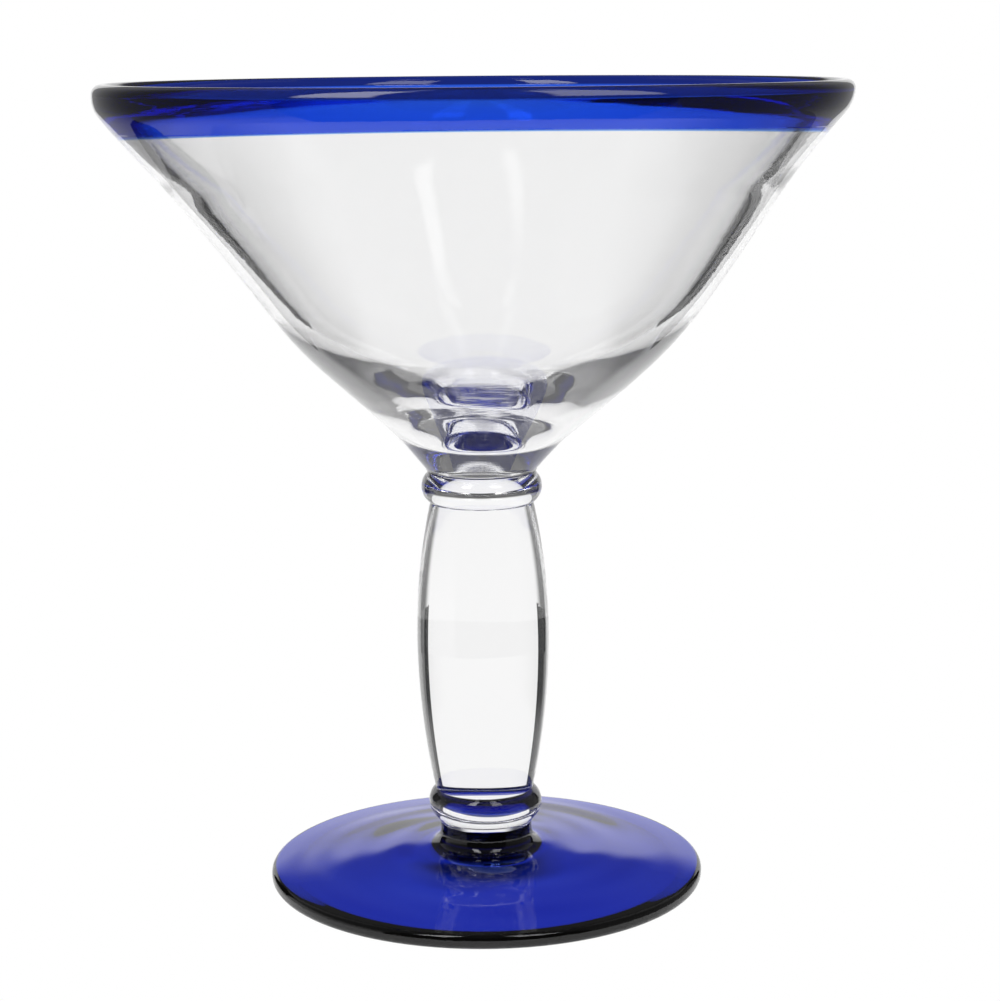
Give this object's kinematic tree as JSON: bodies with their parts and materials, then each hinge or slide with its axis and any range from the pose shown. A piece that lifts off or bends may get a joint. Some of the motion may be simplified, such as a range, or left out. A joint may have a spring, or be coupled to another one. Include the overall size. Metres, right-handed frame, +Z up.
{
  "type": "martini glass",
  "caption": "Stemmed cocktail glass with a wide cone bowl, thick coloured lip, clear baluster stem between two rings, and a coloured disc foot.",
  "frame": {"origin": "centre of the foot, on the surface that the glass stands on", "axes": "+Z up along the glass's turning axis, from the foot to the lip; X and Y are level, and -Y is the side seen from the front"},
  "size_m": [0.1528, 0.1528, 0.168],
  "materials": {
    "cobalt_foot": "fire polished cobalt blue glass",
    "cobalt_rim": "fire polished cobalt blue glass",
    "clear_knop": "pinched clear glass",
    "clear_stem": "pressed clear glass, fire polished",
    "clear_bowl": "blown clear glass with faint tool rings"
  },
  "bodies": {
    "root": {"foot": "cobalt_foot", "lower_knop": "clear_knop", "stem": "clear_stem", "upper_knop": "clear_knop", "bowl": "clear_bowl", "rim_band": "cobalt_rim"}
  },
  "joints": []
}
